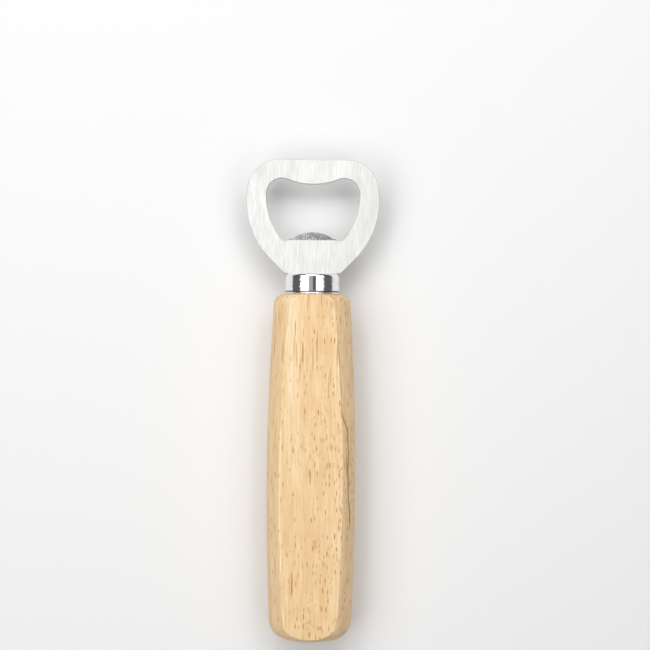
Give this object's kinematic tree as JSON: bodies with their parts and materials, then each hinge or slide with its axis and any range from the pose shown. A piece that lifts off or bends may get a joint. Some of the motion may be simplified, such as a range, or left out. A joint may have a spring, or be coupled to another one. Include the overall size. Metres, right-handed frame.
{
  "type": "hand bottle opener",
  "caption": "Hand-held crown cap opener: stamped steel ring head with lip and bent tongue, chromed ferrule and a turned wooden handle with flat front and back.",
  "frame": {"origin": "centre of the bounding box at its base, in the plane of the handle's back flat", "axes": "+Y along the opener from the handle's butt end to the head, +Z out of the front face, +X across"},
  "size_m": [0.0392, 0.1416, 0.0188],
  "materials": {
    "steel": "fine brushed, with a rough sheared tongue",
    "chrome": "bright polished",
    "wood": "pale open-pored hardwood under thin clear lacquer",
    "epoxy": "cured clear amber glue, hidden"
  },
  "bodies": {
    "root": {"head_plate": "steel", "ferrule": "chrome", "handle": "wood", "tang_adhesive": "epoxy"}
  },
  "joints": []
}
